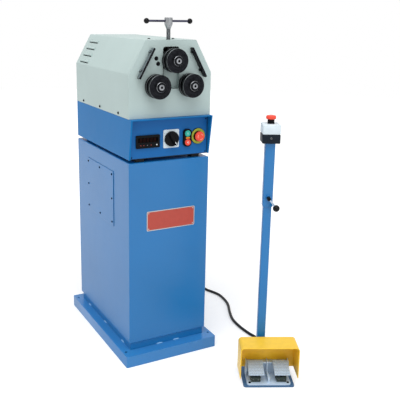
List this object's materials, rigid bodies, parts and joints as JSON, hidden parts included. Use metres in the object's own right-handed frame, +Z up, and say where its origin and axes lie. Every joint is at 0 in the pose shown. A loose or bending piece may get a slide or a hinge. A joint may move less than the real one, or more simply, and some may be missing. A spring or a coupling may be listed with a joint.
{
  "type": "angle roll bender",
  "caption": "Cabinet-mounted bending machine with three grooved driven rolls, a screw-set upper roll, a sloped control head and a pedal station with a post-mounted stop on a coiled cable.",
  "frame": {"origin": "centre of the base tray's underside, on the floor", "axes": "+Z up, -Y to the front where the rolls are, +X to the operator's right; the foot station stands in front and to the right, turned -26.1 degrees about +Z"},
  "size_m": [0.6718, 1.0365, 1.327],
  "materials": {
    "blue_powder_coat": "satin powder coat, blue",
    "panel_powder_coat": "satin powder coat, blue",
    "grey_green_powder_coat": "satin powder coat, grey-green",
    "blackened_steel": "blackened and oiled machined steel",
    "turned_steel": "turned and ground steel",
    "bright_steel": "bright machined steel",
    "cast_grey": "grey coated casting",
    "pad_rubber": "matt black rubber",
    "black_plastic": "moulded, satin black",
    "light_plastic": "moulded, light grey",
    "yellow_plastic": "moulded, warm yellow",
    "red_plastic": "moulded, red",
    "green_plastic": "moulded, green",
    "motor_enamel": "grey enamel on castings",
    "electrics": "plated sheet with moulded switchgear",
    "cable_jacket": "black rubber cable jacket"
  },
  "bodies": {
    "base": {"base_tray": "blue_powder_coat", "cabinet_shell": "blue_powder_coat", "side_access_cover": "blue_powder_coat", "console_housing": "blue_powder_coat", "station_plate": "blue_powder_coat", "station_post": "blue_powder_coat", "control_panel": "panel_powder_coat", "front_plate": "grey_green_powder_coat", "head_cover": "grey_green_powder_coat", "left_guide_bar": "blackened_steel", "right_guide_bar": "blackened_steel", "rear_frame_plate": "turned_steel", "guide_rail_left": "turned_steel", "guide_rail_right": "turned_steel", "screw_nut_block": "turned_steel", "pedal_base": "cast_grey", "riser_pad_front_left": "pad_rubber", "riser_pad_rear_left": "pad_rubber", "riser_pad_front_right": "pad_rubber", "riser_pad_rear_right": "pad_rubber", "display_housing": "black_plastic", "button_bezel": "black_plastic", "foot_cable_gland": "black_plastic", "mains_gland": "black_plastic", "switch_plate": "light_plastic", "panel_stop_collar": "yellow_plastic", "hood": "yellow_plastic", "gearmotor": "motor_enamel", "electrics_plate": "electrics", "foot_cable_coil": "cable_jacket", "foot_cable_lead": "cable_jacket", "foot_cable_run": "cable_jacket"},
    "carriage": {"carriage_block": "blackened_steel", "slot_shield": "grey_green_powder_coat"},
    "upper_roll": {"top_roll": "blackened_steel", "top_shaft": "turned_steel"},
    "screw": {"lead_screw": "bright_steel", "handle_bar": "bright_steel", "left_knob": "black_plastic", "right_knob": "black_plastic"},
    "lower_left_drive": {"lower_left_roll": "blackened_steel", "lower_left_shaft": "turned_steel", "lower_left_gear": "turned_steel"},
    "lower_right_drive": {"lower_right_roll": "blackened_steel", "lower_right_shaft": "turned_steel", "lower_right_gear": "turned_steel"},
    "pinion": {"drive_pinion": "turned_steel"},
    "selector": {"switch_knob": "black_plastic"},
    "start": {"start_button": "green_plastic"},
    "stop": {"stop_button": "red_plastic"},
    "panel_emergency_stem": {"panel_stop_stem": "black_plastic"},
    "panel_emergency_cap": {"panel_stop_cap": "red_plastic"},
    "height_sleeve": {"post_sleeve": "blue_powder_coat", "stop_box": "black_plastic", "stop_box_lid": "light_plastic"},
    "clamp": {"clamp_lever": "bright_steel"},
    "station_emergency_stem": {"station_stop_stem": "black_plastic"},
    "station_emergency_cap": {"station_stop_cap": "red_plastic"},
    "pedal_left": {"left_pedal": "cast_grey"},
    "pedal_right": {"right_pedal": "cast_grey"}
  },
  "joints": [
    {"name": "screw_turn", "type": "hinge", "parent": "carriage", "child": "screw", "pos_m": [0, -0.252, 1.206], "axis": [0, 0, 1], "range_deg": [-2700, 900]},
    {"name": "carriage_lift", "type": "slide", "parent": "base", "child": "carriage", "axis": [0, 0, 1], "range_m": [-0.03, 0.01]},
    {"name": "upper_roll_spin", "type": "hinge", "parent": "carriage", "child": "upper_roll", "pos_m": [0, -0.289, 1.1766], "axis": [0, -1, 0], "continuous": true},
    {"name": "lower_left_spin", "type": "hinge", "parent": "base", "child": "lower_left_drive", "pos_m": [-0.0678, -0.289, 1.085], "axis": [0, -1, 0], "continuous": true},
    {"name": "lower_right_spin", "type": "hinge", "parent": "base", "child": "lower_right_drive", "pos_m": [0.0678, -0.289, 1.085], "axis": [0, -1, 0], "continuous": true},
    {"name": "pinion_spin", "type": "hinge", "parent": "base", "child": "pinion", "pos_m": [0, -0.106, 1.04495], "axis": [0, -1, 0], "continuous": true},
    {"name": "selector_turn", "type": "hinge", "parent": "base", "child": "selector", "pos_m": [0.006, -0.2736, 0.884], "axis": [0, -1, 0], "range_deg": [0, 90]},
    {"name": "start_press", "type": "slide", "parent": "base", "child": "start", "axis": [0, 1, 0], "range_m": [0, 0.004], "stiffness_N_per_m": 300, "springref_m": -0.003},
    {"name": "stop_press", "type": "slide", "parent": "base", "child": "stop", "axis": [0, 1, 0], "range_m": [0, 0.004], "stiffness_N_per_m": 300, "springref_m": -0.003},
    {"name": "panel_emergency_press", "type": "slide", "parent": "base", "child": "panel_emergency_stem", "axis": [0, 1, 0], "range_m": [0, 0.005]},
    {"name": "panel_emergency_release", "type": "hinge", "parent": "panel_emergency_stem", "child": "panel_emergency_cap", "pos_m": [0.121, -0.2703, 0.886], "axis": [0, 1, 0], "range_deg": [0, 30], "stiffness_Nm_per_rad": 0.05, "springref_deg": -5.73},
    {"name": "sleeve_height", "type": "slide", "parent": "base", "child": "height_sleeve", "axis": [0, 0, 1], "range_m": [-0.015, 0.15]},
    {"name": "clamp_turn", "type": "hinge", "parent": "height_sleeve", "child": "clamp", "pos_m": [0.24806, -0.57512, 0.7], "axis": [-0.4399, -0.898, 0], "range_deg": [-90, 30]},
    {"name": "station_emergency_press", "type": "slide", "parent": "height_sleeve", "child": "station_emergency_stem", "axis": [0, 0, -1], "range_m": [0, 0.005]},
    {"name": "station_emergency_release", "type": "hinge", "parent": "station_emergency_stem", "child": "station_emergency_cap", "pos_m": [0.25963, -0.5515, 0.969], "axis": [0, 0, -1], "range_deg": [0, 30], "stiffness_Nm_per_rad": 0.05, "springref_deg": -5.73},
    {"name": "left_pedal_press", "type": "hinge", "parent": "base", "child": "pedal_left", "pos_m": [0.2503, -0.61374, 0.062], "axis": [0.898, -0.4399, 0], "range_deg": [0, 10], "stiffness_Nm_per_rad": 1, "springref_deg": -17.19},
    {"name": "right_pedal_press", "type": "hinge", "parent": "base", "child": "pedal_right", "pos_m": [0.2503, -0.61374, 0.062], "axis": [0.898, -0.4399, 0], "range_deg": [0, 10], "stiffness_Nm_per_rad": 1, "springref_deg": -17.19}
  ],
  "couplings": [
    {"joint": "screw_turn", "follows": "carriage_lift", "rad_per_m": 1570.8},
    {"joint": "lower_right_spin", "follows": "lower_left_spin", "ratio": 1},
    {"joint": "pinion_spin", "follows": "lower_left_spin", "ratio": -2}
  ]
}
